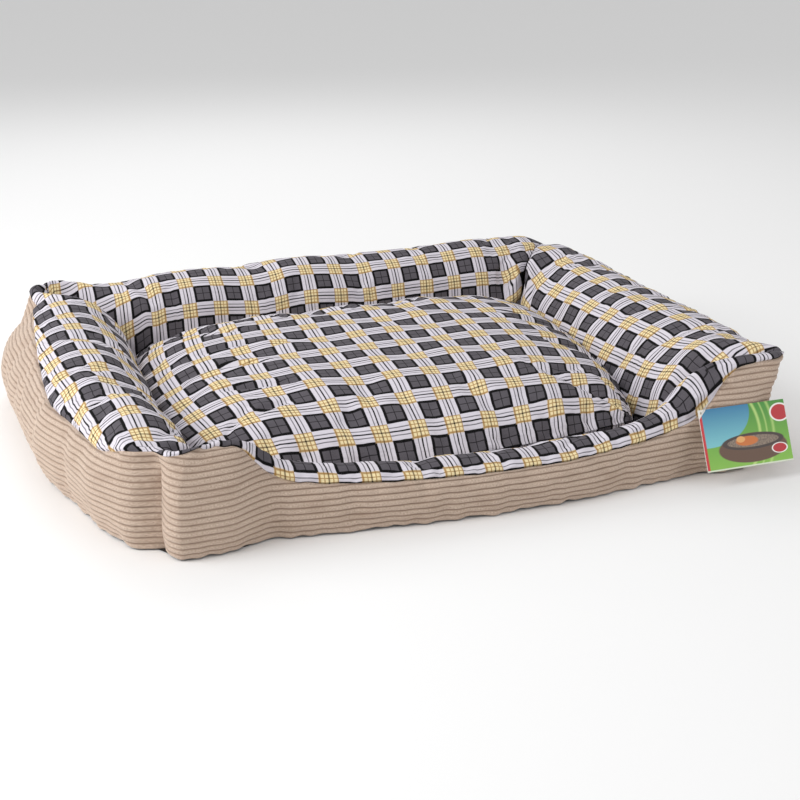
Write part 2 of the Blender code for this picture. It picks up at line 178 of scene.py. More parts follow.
# The crease at each mitred corner: its depth and reach, how much shallower it is at the seam between the cloths
# and how fast that wears off, its pull down over the crest, and the share where it has turned right round
CREASE_DEPTH, CREASE_REACH = 0.018, 0.012
CREASE_SEAM, CREASE_SEAM_REACH = 0.6, 0.15
CREASE_DROP, CREASE_TURN = 0.8, 0.75
# How much of the crease goes over the top of each corner, and where the rest of it starts and how fast
CREASE_TOPS = {"front_left": 1.0, "front_right": 1.0, "back_right": 0.2, "back_left": 1.0}
CREASE_START, CREASE_GROWS = 0.3, 0.3

# The cushion's corners, which press into the soft faces of the walls
CUSHION_CORNERS = ((-0.418, -0.328), (0.296, -0.328), (-0.396, 0.308), (0.392, 0.340))
CROWN_RISE = 0.010
CUSHION_CELLS = 150
# Its width, roughly, and the distance from its edge where gathers and folds are at full depth
CUSHION_SPAN, CUSHION_FADE = 0.6, 0.004
CORNER_ROUNDING = 0.22
TOP_POWERS = (4.2, 0.5)
UNDERSIDE_POWERS = (9.0, 0.5)
# Folds pressed into the cushion's top, as (from, to, half width, depth)
FOLDS = (((-0.310, 0.155), (-0.180, 0.120), 0.010, 0.010), ((-0.315, 0.060), (-0.190, 0.055), 0.009, 0.009),
         ((-0.320, -0.020), (-0.215, -0.045), 0.010, 0.010), ((-0.310, -0.120), (-0.205, -0.150), 0.010, 0.009),
         ((-0.280, 0.220), (-0.170, 0.180), 0.009, 0.010), ((-0.150, 0.240), (-0.120, 0.170), 0.010, 0.006),
         ((-0.020, 0.240), (0.000, 0.180), 0.011, 0.006), ((0.120, 0.240), (0.115, 0.185), 0.010, 0.005),
         ((-0.200, 0.020), (-0.130, 0.045), 0.012, 0.004), ((0.230, -0.180), (0.170, -0.200), 0.012, 0.005),
         ((0.270, 0.100), (0.210, 0.090), 0.012, 0.005), ((-0.290, -0.220), (-0.230, -0.200), 0.009, 0.006))
# How sharply a fold ends, and how high its lips stand
FOLD_ENDS, FOLD_LIP = 2.2, 1.1

FLOOR_CELLS = 60
# The floor cloth lies this far inside the floor panel's top, and sinks by this much within this reach of its edge
FLOOR_INSET, FLOOR_SINK, FLOOR_SINK_REACH = 0.0012, 0.004, 0.03
# The bottom cloth's height and the share of the walls' foot outline it fills, and its grid
BOTTOM_HEIGHT, BOTTOM_SHARE, BOTTOM_RINGS, BOTTOM_STATIONS = 0.0012, 0.98, 24, 60

# The cloth simulation that wrinkles the walls and the cushion, on grids of coarse cells
CLOTH_FRAMES, CLOTH_QUALITY = 18, 6
CLOTH_MASS, CLOTH_BENDING, CLOTH_PRESSURE = 0.15, 0.2, 4.0
CLOTH_CELL = 0.013
OUTER_CELLS, INNER_CELLS, CUSHION_CLOTH_CELLS = 14, 22, 64
# How much larger the cloth is than its filling
WALL_GROWTH, CUSHION_GROWTH = 0.012, 0.014
# The part of the movement's average over so many cells that is taken out, and the cap on what is left
BROAD_SHARE, BROAD_CELLS = 0.85, 4.0
CLOTH_CAP = 0.006
# How much of it the outer and the inner parts of the walls take
PUFF_SHARES = (0.6, 1.0)

LENS, SENSOR = 68.4, 36.0
CAMERA_PLACE = (-0.8047, -2.1122, 0.8151)
CAMERA_DOWN, CAMERA_TURN = 19.2, -21.05
# Lamps as (name, place, target, size, power)
LAMPS = (("key", (-2.7, -0.5, 2.1), (0, 0, 0), 1.6, 49), ("side", (-2.4, 0.5, 0.8), (-0.5, 0, 0.08), 1.2, 13),
         ("fill", (1.6, -2.6, 1.8), (0, 0, 0), 2.5, 11), ("back", (0.3, 2.4, 2.2), (0, 0, 0), 2.0, 18))
SKY = 0.62
FLOOR_HALF, FLOOR_TONE = 12, 0.94


def between(points, at):
    """A smooth curve without overshoot through (place, value) points, read at an array of places."""
    x, y = np.array(points, float).T
    step = np.diff(x)
    rise = np.diff(y) / step
    slope = np.concatenate([rise[:1], np.zeros(len(x) - 2), rise[-1:]])
    same = np.flatnonzero(rise[:-1] * rise[1:] > 0)
    slope[same + 1] = 2 / (1 / rise[same] + 1 / rise[same + 1])
    at = np.clip(at, x[0], x[-1])
    k = np.clip(np.searchsorted(x, at, side="right") - 1, 0, len(x) - 2)
    t = (at - x[k]) / step[k]
    value = y[k] * (1 + 2 * t) * (1 - t) ** 2 + y[k + 1] * t**2 * (3 - 2 * t)
    return value + step[k] * (slope[k] * t * (1 - t) ** 2 - slope[k + 1] * t**2 * (1 - t))


def cubic_weights(coarse, places):
    """A matrix that reads coarse even samples at places from 0 to 1, along a Catmull-Rom curve."""
    index = np.clip(places * (coarse - 1), 0, coarse - 1 - 1e-9)
    k, t = index.astype(int), index % 1
    weights = np.zeros((len(places), coarse))
    shares = (-0.5 * t + t**2 - 0.5 * t**3, 1 - 2.5 * t**2 + 1.5 * t**3, 0.5 * t + 2 * t**2 - 1.5 * t**3,
              -0.5 * t**2 + 0.5 * t**3)
    for shift, share in zip((-1, 0, 1, 2), shares):
        np.add.at(weights, (np.arange(len(places)), np.clip(k + shift, 0, coarse - 1)), share)
    return weights


def smoothstep(x):
    x = np.clip(x, 0, 1)
    return x * x * (3 - 2 * x)


def ripple(u, v, size, depth, seed):
    """Soft random waves of about that size and depth."""
    random = np.random.default_rng(seed)
    total = np.zeros(np.broadcast(u, v).shape)
    for _ in range(WAVE_COUNT):
        turn, phase, scale = random.uniform(0, math.pi), random.uniform(0, 2 * math.pi), random.uniform(0.7, 1.4)
        wave = (u * math.cos(turn) + v * math.sin(turn)) * 2 * math.pi / (size * scale)
        total += np.cos(wave + phase)
    return depth * (total / math.sqrt(WAVE_COUNT))


def normals(points):
    """Unit normals of a grid of points."""
    cross = np.cross(np.gradient(points, axis=0), np.gradient(points, axis=1))
    return cross / np.maximum(np.linalg.norm(cross, axis=2, keepdims=True), 1e-12)


class Wall:
    """One stuffed wall, read at arrays of distances along it and shares of its section."""

    def __init__(self, name):
        facts = WALLS[name]
        self.name = name
        self.belly, self.crest = facts["belly"], facts["crest"]
        self.blends, self.other = facts["blends"], facts.get("other", (name, ((0, 0), (1, 0))))
        self.ends = facts["ends"]
        self.tips = [np.array(TIPS[end]) for end in facts["ends"]]
        self.feet = [np.array(FEET[end]) for end in facts["ends"]]
        way = self.tips[1] - self.tips[0]
        self.length = float(np.hypot(*way))
        self.along = way / self.length
        self.outward = np.array([self.along[1], -self.along[0]])

    def shares(self, distance, share, part):
        """The section's (across, up) shares for the outer part, 0, or the inner part, 1."""
        def read(section):
            points = np.array(SECTIONS[section][part])
            return cubic_weights(len(points), share) @ points
        made = read(self.name)
        other, track = self.other
        made = made + (read(other) - made) * between(track, distance)[:, None, None]
        for end, away, blend in zip(self.ends, (distance, self.length - distance), self.blends):
            corner = read(end)
            made = corner + (made - corner) * smoothstep(away / blend)[:, None, None]
        return made

    def points(self, distance, share, part):
        """A grid of points in space."""
        made = self.shares(distance, share, part)
        station = (distance / self.length)[:, None]
        inner_station = station - FOOT_SQUEEZE * np.sin(2 * math.pi * station) / (2 * math.pi)
        foot = self.feet[0] + (self.feet[1] - self.feet[0]) * inner_station
        tip = self.tips[0] + (self.tips[1] - self.tips[0]) * station
        edge = tip + self.outward * between(self.belly, distance)[:, None]
        plan = foot[:, None] + (edge - foot)[:, None] * made[:, :, :1]
        height = WALL_BASE + (between(self.crest, distance)[:, None] - WALL_BASE) * made[:, :, 1]
        return settle(np.concatenate([plan, height[:, :, None]], axis=2))

    def cloth(self, points, from_foot):
        """Where each point lies on the flat cloth: along the wall, and up its section from the foot or the grain."""
        along = points[:, :, :2] @ self.along
        section = np.stack([points[:, :, :2] @ self.outward, points[:, :, 2]], axis=2)
        step = np.linalg.norm(np.diff(section, axis=1), axis=2)
        up = np.concatenate([np.zeros((len(points), 1)), np.cumsum(step, axis=1)], axis=1)
        if from_foot:
            return np.stack([along, up], axis=2)
        if self.name == "front":
            ridge = points[:, int(RIDGE_SHARE * points.shape[1])]
            run = np.cumsum(np.linalg.norm(np.diff(ridge, axis=0, prepend=ridge[:1]), axis=1))
            climb = run - ridge[:, :2] @ self.along
            along = along + (climb - np.median(climb))[:, None]
        if GRAINS[self.name]:
            grain = [np.interp(-GRAINS[self.name], -across, heights) for across, heights in zip(section[:, :, 0], up)]
            up = up - np.array(grain)[:, None]
        return np.stack([along, PLAID_REPEAT * GRAIN_PHASES[self.name] - up], axis=2)


def settle(points):
    """Draws in the front right corner's foot, so that the corner leans out over it. Changes the points."""
    away = np.linalg.norm(points[..., :2] - np.array(TIPS["front_right"]), axis=-1)
    near = np.exp(-(away / LEAN_REACH) ** 2)
    points[..., 0] -= LEAN * (near * np.clip(1 - points[..., 2] / LEAN_HEIGHT, 0, 1))
    return points


def grid_object(name, points, cloth, material):
    """A grid of points as a smooth mesh, with its cloth coordinates as a UV map."""
    rows, columns = points.shape[:2]
    index = np.arange(rows * columns).reshape(rows, columns)
    quads = np.stack([index[:-1, :-1], index[1:, :-1], index[1:, 1:], index[:-1, 1:]], axis=2).reshape(-1, 4)
    return mesh_object(name, points.reshape(-1, 3), quads, cloth.reshape(-1, 2), material)


def mesh_object(name, points, quads, cloth, material):
    mesh = bpy.data.meshes.new(name)
    mesh.from_pydata(points.tolist(), [], quads.tolist())
    mesh.shade_smooth()
    layer = mesh.uv_layers.new(name="cloth")
    layer.data.foreach_set("uv", cloth[quads.ravel()].astype(np.float32).ravel())
    if material:
        mesh.materials.append(material)
    obj = bpy.data.objects.new(name, mesh)
    bpy.context.scene.collection.objects.link(obj)
    return obj


class Field:
    """A number that varies over a surface. Arithmetic on it adds Math nodes."""

    def __init__(self, tree, socket):
        self.tree, self.socket = tree, socket

    def math(self, operation, *others, clamp=False):
        node = self.tree.nodes.new("ShaderNodeMath")
        node.operation, node.use_clamp = operation, clamp
        for slot, value in zip(node.inputs, (self, *others)):
            if isinstance(value, Field):
                self.tree.links.new(value.socket, slot)
            else:
                slot.default_value = value
        return Field(self.tree, node.outputs[0])

    def __add__(self, other):
        return self.math("ADD", other)

    def __sub__(self, other):
        return self.math("SUBTRACT", other)

    def __mul__(self, other):
        return self.math("MULTIPLY", other)

    def fract(self):
        return self.math("FRACT")

    def size(self):
        return self.math("ABSOLUTE")

    def within(self, middle, width, soft):
        """1 where this is within a width about a middle, falling softly to 0."""
        return ((self - middle).size() * -1 + (width + soft) / 2).math("MULTIPLY", 1 / soft, clamp=True)

    def either(self, other):
        return self.math("MAXIMUM", other)


class Finish:
    """A material under construction, with its Principled shader and the fields of its surface."""

    def __init__(self, name, roughness, **values):
        self.material = bpy.data.materials.new(name)
        self.material.use_nodes = True
        self.tree = self.material.node_tree
        self.shader = self.tree.nodes["Principled BSDF"]
        self.set(Roughness=roughness, **values)

    def set(self, **values):
        for name, value in values.items():
            self.shader.inputs[name.replace("_", " ")].default_value = value

    def cloth(self):
        """Fields along and across the cloth, in metres."""
        node = self.tree.nodes.new("ShaderNodeUVMap")
        node.uv_map = "cloth"
        return self.split(node.outputs[0])

    def place(self):
        """Fields of the place in space, at rest."""
        return self.split(self.tree.nodes.new("ShaderNodeTexCoord").outputs["Object"])

    def split(self, socket):
        node = self.tree.nodes.new("ShaderNodeSeparateXYZ")
        self.tree.links.new(socket, node.inputs[0])
        return [Field(self.tree, output) for output in node.outputs]

    def noise(self, x, y, per_x, per_y, detail=2.0, z=0.0):
        """Noise with that many lumps a metre along x and y, about 0.5."""
        join = self.tree.nodes.new("ShaderNodeCombineXYZ")
        for slot, value in zip(join.inputs, (x * per_x, y * per_y)):
            self.tree.links.new(value.socket, slot)
        join.inputs[2].default_value = z
        node = self.tree.nodes.new("ShaderNodeTexNoise")
        node.inputs["Scale"].default_value = 1.0
        node.inputs["Detail"].default_value = detail
        self.tree.links.new(join.outputs[0], node.inputs["Vector"])
        return Field(self.tree, node.outputs[0])

    def mix(self, first, second, share):
        """A colour between two colours, each a socket or three numbers, by a share."""
        node = self.tree.nodes.new("ShaderNodeMix")
        node.data_type, node.clamp_factor = "RGBA", True
        for slot, value in ((node.inputs[6], first), (node.inputs[7], second), (node.inputs[0], share)):
            if isinstance(value, Field):
                self.tree.links.new(value.socket, slot)
            elif isinstance(value, bpy.types.NodeSocket):
                self.tree.links.new(value, slot)
            elif isinstance(value, tuple):
                slot.default_value = (*value, 1.0)
            else:
                slot.default_value = value
        return node.outputs[2]

    def colour(self, socket):
        self.tree.links.new(socket, self.shader.inputs["Base Color"])

    def bump(self, field, height, strength):
        node = self.tree.nodes.new("ShaderNodeBump")
        node.inputs["Distance"].default_value = height
        node.inputs["Strength"].default_value = strength
        self.tree.links.new(field.socket, node.inputs["Height"])
        self.tree.links.new(node.outputs[0], self.shader.inputs["Normal"])


def srgb(red, green, blue):
    """A colour given in 8-bit steps, as linear light."""
    return tuple(((c / 255 + 0.055) / 1.055) ** 2.4 if c > 10 else c / 3295 for c in (red, green, blue))


def corduroy():
    finish = Finish("corduroy", 0.92, Sheen_Weight=0.35, Sheen_Roughness=0.45)
    finish.set(Sheen_Tint=(1.0, 0.93, 0.86, 1.0), Specular_IOR_Level=0.2)
    along, up, _ = finish.cloth()
    wale = (up * (1 / WALE_PITCH)).fract()
    pile = finish.noise(along, up, 420, 800, 4.0)
    # The groove mask marks the hollows between the wales, where the colour is darkened: partly the backing's own
    # browner colour, partly painted shade on top of what the ribs' relief already shades
    groove = ((wale - 0.5).size() + (pile - 0.5) * 0.22).within(0.52, 0.20, 0.30)
    crush = finish.noise(along, up, 22, 60, 3.0, z=4.0)
    colour = finish.mix(srgb(162, 138, 121), srgb(220, 201, 184), (pile - 0.5) * 1.8 + 0.5)
    colour = finish.mix(colour, srgb(162, 138, 121), ((crush - 0.48) * 3.0).math("MULTIPLY", 0.5, clamp=True))
    # Dark brown in the grooves: the backing's browner tone and painted groove shade
    finish.colour(finish.mix(colour, srgb(104, 78, 60), groove * 0.85))
    finish.bump(pile, 0.0008, 0.6)
    return finish.material


def plaid():
    """A printed check: dark bands and light bands both ways, whose crossings are dark, white or yellow squares."""
    finish = Finish("plaid", 0.85, Specular_IOR_Level=0.12)
    across, up, _ = finish.cloth()
    grey, black, white = srgb(91, 87, 93), srgb(3, 2, 4), srgb(219, 214, 223)
    cream, gold, brown = srgb(244, 226, 178), srgb(160, 118, 62), srgb(82, 56, 28)
    places = [(axis * (1 / PLAID_REPEAT)).fract() for axis in (across, up)]
    dark, border, cross, line, centre, rim, square = (
        [(place - middle).size().within(*band) for place in places] for middle, *band in PLAID_BANDS)
    tone = finish.mix(grey, black, cross[0].either(cross[1]) * 0.9)
    tone = finish.mix(tone, black, border[0].either(border[1]))
    stripes = []
    for i in range(2):
        stripe = finish.mix(white, srgb(26, 22, 30), line[i] * 0.85)
        stripes.append(finish.mix(stripe, black, centre[i]))
    check = finish.mix(cream, gold, line[0].either(line[1]) * 0.9)
    check = finish.mix(check, gold, rim[0].either(rim[1]) * 0.9)
    check = finish.mix(check, brown, centre[0].either(centre[1]) * 0.75)
    check = finish.mix(check, black, centre[0] * centre[1])
    colour = finish.mix(finish.mix(white, stripes[0], dark[1]), finish.mix(stripes[1], tone, dark[1]), dark[0])
    colour = finish.mix(colour, check, square[0] * square[1])
    thread = finish.noise(across, up, 900, 900, 1.0)
    slub = finish.noise(across, up, 60, 400, 2.0, z=2.0)
    worn = finish.mix(colour, (1.0, 1.0, 1.0), (thread - 0.5) * 0.12)
    finish.colour(finish.mix(worn, (0.0, 0.0, 0.0), (slub - 0.5) * 0.5))
    finish.bump(thread, 0.0004, 0.5)
    return finish.material


def ellipse(u, v, middle, radii, soft=0.10):
    """1 inside an ellipse, falling softly to 0."""
    off = [((axis - m) * (1 / r)).math("POWER", 2.0) for axis, m, r in zip((u, v), middle, radii)]
    return ((off[0] + off[1]) * (-1 / soft) + (1 / soft + 0.5)).math("MULTIPLY", 1.0, clamp=True)


def card_print():
    """The card's outside: a generic picture of a bed on green, and plain white on its other faces."""
    finish = Finish("card_print", 0.25, Coat_Weight=0.4, Coat_Roughness=0.12)
    low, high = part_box("tag_front_leaf")
    x, _, z = finish.place()
    u = (x - low.x) * (1 / (high.x - low.x))
    v = (z * -1 + high.z) * (1 / (high.z - low.z))
    ground = finish.mix(srgb(58, 140, 40), srgb(140, 196, 70), v.math("MULTIPLY", 0.9, clamp=True))
    around = ((u - 0.15).math("POWER", 2.0) + ((v - 0.4) * 0.6).math("POWER", 2.0)).math("SQRT")
    arcs = around.within(0.52, 0.030, 0.02).either(around.within(0.60, 0.012, 0.02)).either(
        around.within(0.68, 0.020, 0.03))
    colour = finish.mix(ground, srgb(196, 226, 130), arcs * 0.8)
    panel = ellipse(u, v, (0.08, 0.08), (0.50, 0.54), 0.04)
    colour = finish.mix(colour, finish.mix(srgb(32, 120, 165), srgb(120, 195, 205), v * 1.7), panel)
    colour = finish.mix(colour, srgb(96, 66, 46), ellipse(u, v, (0.56, 0.70), (0.40, 0.235)))
    colour = finish.mix(colour, srgb(60, 44, 38), ellipse(u, v, (0.57, 0.60), (0.36, 0.13)))
    weave = finish.noise(u, v, 60, 34, 1.0)
    colour = finish.mix(colour, srgb(170, 150, 130), ellipse(u, v, (0.57, 0.60), (0.30, 0.09)) * weave)
    colour = finish.mix(colour, srgb(205, 112, 40), ellipse(u, v, (0.50, 0.585), (0.13, 0.075), 0.3))
    colour = finish.mix(colour, srgb(232, 170, 100), ellipse(u, v, (0.43, 0.55), (0.05, 0.05), 0.4))
    for middle, radii in (((0.865, 0.765), (0.095, 0.085)), ((0.93, 0.20), (0.12, 0.15))):
        colour = finish.mix(colour, srgb(245, 240, 236), ellipse(u, v, middle, radii))
        colour = finish.mix(colour, srgb(186, 22, 34), ellipse(u, v, middle, [r * 0.84 for r in radii]))
    colour = finish.mix(colour, srgb(200, 30, 40), u.within(0.0, 0.06, 0.01))
    colour = finish.mix(colour, srgb(226, 232, 214), v.within(0.985, 0.022, 0.01))
    facing = finish.split(finish.tree.nodes.new("ShaderNodeTexCoord").outputs["Normal"])[1]
    outside = (facing * -8 - 2.0).math("MULTIPLY", 1.0, clamp=True)
    finish.colour(finish.mix(srgb(240, 238, 232), colour, outside))
    finish.bump(finish.noise(x, z, 900, 900, 1.0), 0.0001, 0.3)
    return finish.material


def card_white():
    finish = Finish("card_white", 0.7)
    x, _, z = finish.place()
    pulp = finish.noise(x, z, 700, 500, 3.0)
    finish.colour(finish.mix(srgb(226, 223, 214), srgb(247, 246, 241), pulp))
    finish.bump(pulp, 0.0002, 0.4)
    return finish.material


def nylon():
    finish = Finish("nylon", 0.18, Transmission_Weight=0.55, IOR=1.5)
    x, _, z = finish.place()
    finish.colour(finish.mix(srgb(225, 230, 235), srgb(250, 250, 250), finish.noise(x, z, 400, 400)))
    return finish.material


def bottom_cloth():
    """Dark non-woven cloth, pressed with a close pattern of dots."""
    finish = Finish("bottom_cloth", 0.9, Specular_IOR_Level=0.2)
    along, up, _ = finish.cloth()
    dots = finish.mix((0.0, 0.0, 0.0), (1.0, 1.0, 1.0), (along * 400).math("SINE") * (up * 400).math("SINE"))
    fibres = finish.noise(along, up, 300, 900, 3.0)
    colour = finish.mix(srgb(40, 38, 38), srgb(74, 70, 70), fibres)
    finish.colour(finish.mix(colour, srgb(24, 22, 22), Field(finish.tree, dots) * 0.5))
    finish.bump(fibres - Field(finish.tree, dots), 0.0004, 0.5)
    return finish.material


def wale_profile(phase):
    """Height of a wale from 0 in its groove to 1, over a phase from 0 to 1."""
    return np.sqrt(np.clip(1 - (2 * (phase % 1) - 1) ** 2, 0, 1))


def spaced(cost, count):
    """Places from 0 to 1 that share out a cost, which is given at even places, in equal steps."""
    total = np.concatenate([[0], np.cumsum((cost[1:] + cost[:-1]) / 2)])
    return np.interp(np.linspace(0, total[-1], count), total, np.linspace(0, 1, len(cost)))


def puckers(along, away, size, depth, reach, seed):
    """Gathers that run away from a seam and fade out."""
    return ripple(along, along * 0, size, depth, seed) * np.exp(-np.maximum(away, 0) / reach)


def columns_of(wall):
    """Distances along a wall, closer together where its seam climbs steeply across the wales."""
    even = np.linspace(0, wall.length, SEAM_PROBES)
    cloth = wall.cloth(wall.points(even, np.linspace(0, 1, SECTION_PROBES), 0), True)
    climb = np.abs(np.gradient(cloth[:, -1, 1], even))
    cost = 1 / COLUMN + np.minimum(climb, STEEPEST) / RAMP_COLUMN
    count = int(np.mean(cost) * wall.length)
    return spaced(cost, count) * wall.length


def puffed_parts(wall, distance, puffs):
    """The outer and the inner part of a wall as grids of points, with the simulated wrinkles."""
    parts = []
    for part, rows in enumerate((OUTER_ROWS, INNER_ROWS)):
        share = np.linspace(0, 1, rows)
        points = wall.points(distance, share, part)
        if wall.name in puffs:
            puff = puffs[wall.name][part] * PUFF_SHARES[part]
            points = points + np.einsum(
                "ia,jb,abc->ijc", cubic_weights(puff.shape[0], distance / wall.length),
                cubic_weights(puff.shape[1], share), puff)
        parts.append(points)
    return parts


def corner_crease(wall, distance, end, part, rows):
    """Moves that draw a wall's ends in along the mitres: inwards on the outside, down over the crest and back out."""
    first = distance < wall.length / 2
    corners = np.where(first[:, None], *(foot - tip for foot, tip in zip(wall.feet, wall.tips)))
    inwards = np.append(corners / np.linalg.norm(corners, axis=1, keepdims=True), np.zeros((len(corners), 1)), axis=1)
    share = np.linspace(0, 1, rows)
    from_seam = 1 - share if part == 0 else share
    depth = CREASE_DEPTH * np.exp(-end / CREASE_REACH) * (1 - CREASE_SEAM * np.exp(-from_seam / CREASE_SEAM_REACH))
    tops = np.where(first, *(CREASE_TOPS[corner] for corner in wall.ends))[:, None]
    depth *= tops + (1 - tops) * part * smoothstep((share - CREASE_START) / CREASE_GROWS)
    turn = (part * math.pi * np.minimum(share / CREASE_TURN, 1))[:, None]
    return depth[:, :, None] * (inwards[:, None] * np.cos(turn) - np.array([0, 0, CREASE_DROP]) * np.sin(turn))


def build_wall(name, materials, puffs):
    wall = Wall(name)
    distance = columns_of(wall)
    end = np.minimum(distance, wall.length - distance)[:, None]
    parts = puffed_parts(wall, distance, puffs)
    outs = [normals(points) for points in parts]
    seam_out = outs[0][:, -1] + outs[1][:, 0]
    seam_out /= np.linalg.norm(seam_out, axis=1, keepdims=True)
    for part, slot in enumerate(("corduroy", "plaid")):
        cloth = wall.cloth(parts[part], part == 0)
        along, up = cloth[:, :, 0], cloth[:, :, 1]
        if part == 0:
            from_seam = up[:, -1:] - up
            lift = WALE_DEPTH * (wale_profile(up / WALE_PITCH) - 1)
            lift += puckers(along, up, *FOOT_PUCKERS)
        else:
            from_seam = up[:, :1] - up
            lift = np.zeros_like(up)
            shift = POST_SHIFT * (1 - between(wall.other[1], distance))[:, None] if name == "front" else 0
            cloth = np.stack([along, up - shift], axis=2) * PRINT_SCALES[name]
        lift += puckers(along, from_seam, *SEAM_PUCKERS[part])
        lift += puckers(up, end, *CORNER_PUCKERS[part])
        lift += ripple(along, up, *WALL_WAVES[part])
        lift *= smoothstep(from_seam / SEAM_FADE) * smoothstep(end / CORNER_FADE)
        points = parts[part] + outs[part] * lift[:, :, None]
        groove = SEAM_DEPTH * np.exp(-(from_seam / SEAM_WIDTH) ** 2) * smoothstep(end / SEAM_END)
        points -= seam_out[:, None] * groove[:, :, None]
        points += corner_crease(wall, distance, end, part, points.shape[1])
        points[:, :, 2] = np.maximum(points[:, :, 2], FLOOR_GAP)
        obj = grid_object(f"{name}_{slot}", points, cloth, materials[slot])
        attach(obj, "tub")
        if part == 0:
            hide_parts(f"{name}_outer_panel", f"{name}_bolster_filling")
        else:
            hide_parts(f"{name}_inner_panel")


def cushion_points(count, top):
    """A grid over one side of the cushion, from its seam over its middle, and the flat cloth's coordinates."""
    even = np.sin(np.linspace(-math.pi / 2, math.pi / 2, count))
    a, b = even[:, None], even[None, :]
    across = (1 + a * np.sqrt(1 - CORNER_ROUNDING * b**2)) / 2
    along = (1 + b * np.sqrt(1 - CORNER_ROUNDING * a**2)) / 2
    corners = np.array(CUSHION_CORNERS)
    front = corners[0] + (corners[1] - corners[0]) * across[:, :, None]
    back = corners[2] + (corners[3] - corners[2]) * across[:, :, None]
    plan = front + (back - front) * along[:, :, None]
    low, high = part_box("cushion_top_panel" if top else "cushion_bottom_panel")
    power, root = TOP_POWERS if top else UNDERSIDE_POWERS
    dome = ((1 - np.abs(a) ** power) * (1 - np.abs(b) ** power)) ** root
    seam, crown = (low.z, high.z + CROWN_RISE) if top else (high.z, low.z)
    points = np.concatenate([plan, (seam + (crown - seam) * dome)[:, :, None]], axis=2)
    middle = count // 2
    lengths = []
    for line in (points[:, middle], points[middle]):
        run = np.concatenate([[0], np.cumsum(np.linalg.norm(np.diff(line, axis=0), axis=1))])
        lengths.append(run - run[middle])
    return points, np.stack(np.meshgrid(*lengths, indexing="ij"), axis=2)


def fold(points, start, end, width, depth):
    """How far a fold between two places presses each point in. Its valley has a raised lip on both sides."""
    start, end = np.array(start), np.array(end)
    way = end - start
    share = (points[:, :, :2] - start) @ way / (way @ way)
    off = np.abs((points[:, :, :2] - start) @ np.array([-way[1], way[0]])) / np.linalg.norm(way)
    taper = np.exp(-(FOLD_ENDS * (share - 0.5)) ** 4)
    scaled = (off / width) ** 2
    return depth * taper * (1 - FOLD_LIP * scaled) * np.exp(-scaled)


def build_cushion(materials, puffs):
    places = (1 + np.sin(np.linspace(-math.pi / 2, math.pi / 2, CUSHION_CELLS))) / 2
    inset = np.minimum(places, 1 - places)
    edge = np.minimum(inset[:, None], inset) * CUSHION_SPAN
    for top, name in ((True, "cushion_top"), (False, "cushion_underside")):
        points, cloth = cushion_points(CUSHION_CELLS, top)
        if not top:
            points, cloth = points[:, ::-1], cloth[:, ::-1]
        if top and "cushion" in puffs:
            puff = puffs["cushion"]
            weights = cubic_weights(len(puff), np.linspace(0, 1, CUSHION_CELLS))
            points = points + np.einsum("ia,jb,abc->ijc", weights, weights, puff)
        lift = puckers(cloth[:, :, 0] + cloth[:, :, 1], edge, *CUSHION_PUCKERS)
        lift += ripple(cloth[:, :, 0], cloth[:, :, 1], *CUSHION_WAVES)
        if top:
            for one in FOLDS:
                lift -= fold(points, *one)
        points = points + normals(points) * (lift * np.clip(edge / CUSHION_FADE, 0, 1))[:, :, None]
        obj = grid_object(name, points, cloth * PRINT_SCALES["cushion"] + CUSHION_PRINT, materials["plaid"])
        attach(obj, "cushion")
        if top:
            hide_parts("cushion_top_panel", "cushion_filling")
        else:
            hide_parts("cushion_bottom_panel")


def camera():
    data = bpy.data.cameras.new("camera")
    data.lens, data.sensor_width = LENS, SENSOR
    data.clip_start, data.clip_end = 0.05, 60.0
    obj = bpy.data.objects.new("camera", data)
    bpy.context.scene.collection.objects.link(obj)
    obj.location = CAMERA_PLACE
    obj.rotation_euler = (math.radians(90 - CAMERA_DOWN), 0, math.radians(CAMERA_TURN))
    bpy.context.scene.camera = obj


def lamp(name, place, target, size, power):
    data = bpy.data.lights.new(name, "AREA")
    data.shape, data.size, data.energy = "SQUARE", size, power
    obj = bpy.data.objects.new(name, data)
    bpy.context.scene.collection.objects.link(obj)
    obj.location = place
    obj.rotation_euler = (Vector(target) - Vector(place)).to_track_quat("-Z", "Y").to_euler()


def studio():
    camera()
    for one in LAMPS:
        lamp(*one)
    world = bpy.data.worlds.new("world")
    world.use_nodes = True
    background = world.node_tree.nodes["Background"]
    background.inputs["Color"].default_value = (1.0, 1.0, 1.0, 1.0)
    background.inputs["Strength"].default_value = SKY
    bpy.context.scene.world = world
    bpy.context.scene.view_settings.view_transform = "Standard"
    finish = Finish("floor", 0.8)
    finish.set(Base_Color=(FLOOR_TONE, FLOOR_TONE, FLOOR_TONE, 1.0))
    corners = FLOOR_HALF * np.array([(-1, -1, 0), (1, -1, 0), (1, 1, 0), (-1, 1, 0)], float)
    floor = mesh_object("floor", corners, np.array([[0, 1, 2, 3]]), corners[:, :2], finish.material)


